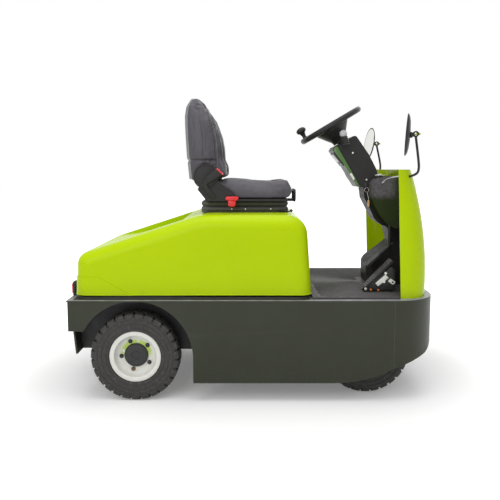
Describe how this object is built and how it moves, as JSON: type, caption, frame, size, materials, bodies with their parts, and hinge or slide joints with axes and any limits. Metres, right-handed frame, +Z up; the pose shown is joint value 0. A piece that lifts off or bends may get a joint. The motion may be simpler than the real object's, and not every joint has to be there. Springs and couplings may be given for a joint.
{
  "type": "four-wheel electric tow tractor for airport baggage",
  "caption": "Compact electric tow tractor with a standing-height shield, side skirts, tilting battery hood with seat, steered front axle and rear tow coupling.",
  "frame": {"origin": "on the ground, below the middle of the bounding box", "axes": "+X forward, +Y to the driver's left, +Z up"},
  "size_m": [1.78, 0.96, 1.421],
  "materials": {
    "lime_panel": "gloss lime paint",
    "skirt_grey": "satin dark olive grey paint",
    "chassis_black": "satin black paint",
    "cast_black": "painted casting",
    "plain_steel": "plain steel",
    "battery_block": "painted tray, stands in for the cells' weight",
    "mat_rubber": "ribbed black rubber",
    "moulded_black": "grained black moulding",
    "seat_cover": "black vinyl",
    "tyre": "solid rubber",
    "rim_white": "off-white paint",
    "lamp_glass": "clear lens",
    "red_lens": "red lens"
  },
  "bodies": {
    "chassis": {"frame": "chassis_black", "skirt_left": "skirt_grey", "skirt_right": "skirt_grey", "front_bumper": "skirt_grey", "rear_bumper": "skirt_grey", "tail_plate": "chassis_black", "platform": "chassis_black", "floor_mat": "mat_rubber", "hood_seal": "mat_rubber", "hinge_bracket_left": "chassis_black", "hinge_bracket_right": "chassis_black", "battery": "battery_block", "drive_axle": "cast_black", "front_axle": "cast_black", "front_shield": "lime_panel", "headlamp_left": "lamp_glass", "headlamp_right": "lamp_glass", "firewall": "moulded_black", "column_head": "moulded_black", "pedestal": "moulded_black", "dash_pod": "moulded_black", "direction_lever": "moulded_black", "accelerator_pedal": "chassis_black", "brake_pedal": "chassis_black", "mirror_left": "moulded_black", "mirror_right": "moulded_black", "tail_lamp_left": "red_lens", "tail_lamp_right": "red_lens", "tow_coupling": "chassis_black"},
    "hood": {"hood": "lime_panel", "seat_base": "mat_rubber", "seat_frame": "moulded_black", "seat_cushion": "seat_cover", "seat_back": "seat_cover"},
    "steering_wheel": {"steering_wheel": "moulded_black"},
    "tie_rod": {"tie_rod": "plain_steel"},
    "tow_pin": {"tow_pin": "plain_steel"},
    "knuckle_left": {"knuckle_left": "cast_black"},
    "rear_wheel_left": {"rear_tyre_left": "tyre", "rear_rim_left": "rim_white", "rear_hub_left": "cast_black"},
    "front_wheel_left": {"front_tyre_left": "tyre", "front_rim_left": "rim_white", "front_hub_left": "cast_black"},
    "knuckle_right": {"knuckle_right": "cast_black"},
    "rear_wheel_right": {"rear_tyre_right": "tyre", "rear_rim_right": "rim_white", "rear_hub_right": "cast_black"},
    "front_wheel_right": {"front_tyre_right": "tyre", "front_rim_right": "rim_white", "front_hub_right": "cast_black"}
  },
  "joints": [
    {"name": "hood_hinge", "type": "hinge", "parent": "chassis", "child": "hood", "pos_m": [-0.745, 0, 0.6], "axis": [0, -1, 0], "range_deg": [0, 60]},
    {"name": "knuckle_left_steer", "type": "hinge", "parent": "chassis", "child": "knuckle_left", "pos_m": [0.577, 0.196, 0.2075], "axis": [0, 0, 1], "range_deg": [-36, 36]},
    {"name": "knuckle_right_steer", "type": "hinge", "parent": "chassis", "child": "knuckle_right", "pos_m": [0.577, -0.196, 0.2075], "axis": [0, 0, 1], "range_deg": [-36, 36]},
    {"name": "tie_rod_left_pin", "type": "hinge", "parent": "knuckle_left", "child": "tie_rod", "pos_m": [0.457, 0.196, 0.1275], "axis": [0, 0, 1], "range_deg": [-36, 36]},
    {"name": "steering_wheel_turn", "type": "hinge", "parent": "chassis", "child": "steering_wheel", "pos_m": [0.428, 0, 1.299], "axis": [-0.509, 0, 0.8607], "range_deg": [-720, 720]},
    {"name": "tow_pin_lift", "type": "slide", "parent": "chassis", "child": "tow_pin", "axis": [0, 0, 1], "range_m": [0, 0.15]},
    {"name": "rear_wheel_left_spin", "type": "hinge", "parent": "chassis", "child": "rear_wheel_left", "pos_m": [-0.515, 0.407, 0.2075], "axis": [0, 1, 0], "continuous": true},
    {"name": "front_wheel_left_spin", "type": "hinge", "parent": "knuckle_left", "child": "front_wheel_left", "pos_m": [0.577, 0.297, 0.2075], "axis": [0, 1, 0], "continuous": true},
    {"name": "rear_wheel_right_spin", "type": "hinge", "parent": "chassis", "child": "rear_wheel_right", "pos_m": [-0.515, -0.407, 0.2075], "axis": [0, 1, 0], "continuous": true},
    {"name": "front_wheel_right_spin", "type": "hinge", "parent": "knuckle_right", "child": "front_wheel_right", "pos_m": [0.577, -0.297, 0.2075], "axis": [0, 1, 0], "continuous": true}
  ],
  "couplings": [
    {"joint": "knuckle_right_steer", "follows": "knuckle_left_steer", "ratio": 1},
    {"joint": "tie_rod_left_pin", "follows": "knuckle_left_steer", "ratio": -1},
    {"joint": "steering_wheel_turn", "follows": "knuckle_left_steer", "ratio": 20}
  ]
}
